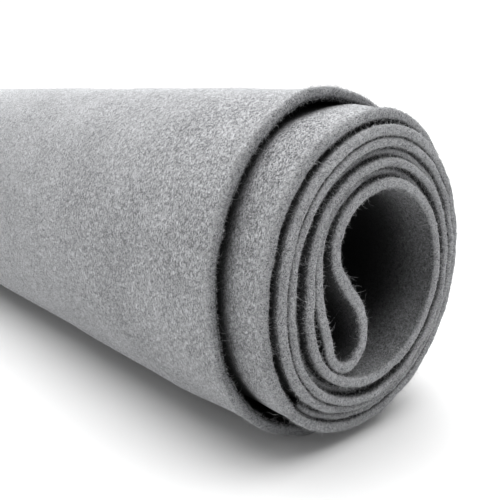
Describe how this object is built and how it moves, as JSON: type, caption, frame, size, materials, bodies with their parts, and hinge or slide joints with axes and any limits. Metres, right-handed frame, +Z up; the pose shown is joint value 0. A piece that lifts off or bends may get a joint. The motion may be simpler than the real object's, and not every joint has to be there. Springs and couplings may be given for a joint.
{
  "type": "roll of felt",
  "caption": "Cut length of thick grey felt, folded over once and rolled up from that fold, lying on its side with one end stepped and open at the core",
  "frame": {"origin": "middle of the underside, at the height of the table", "axes": "X runs along the roll, with its stepped open end at +X; Z is up; Y is across the roll"},
  "size_m": [0.4736, 0.118, 0.121],
  "materials": {
    "grey_felt": "matte, mottled mid grey felt with a short fibrous nap"
  },
  "bodies": {
    "root": {"felt_roll": "grey_felt"}
  },
  "joints": []
}
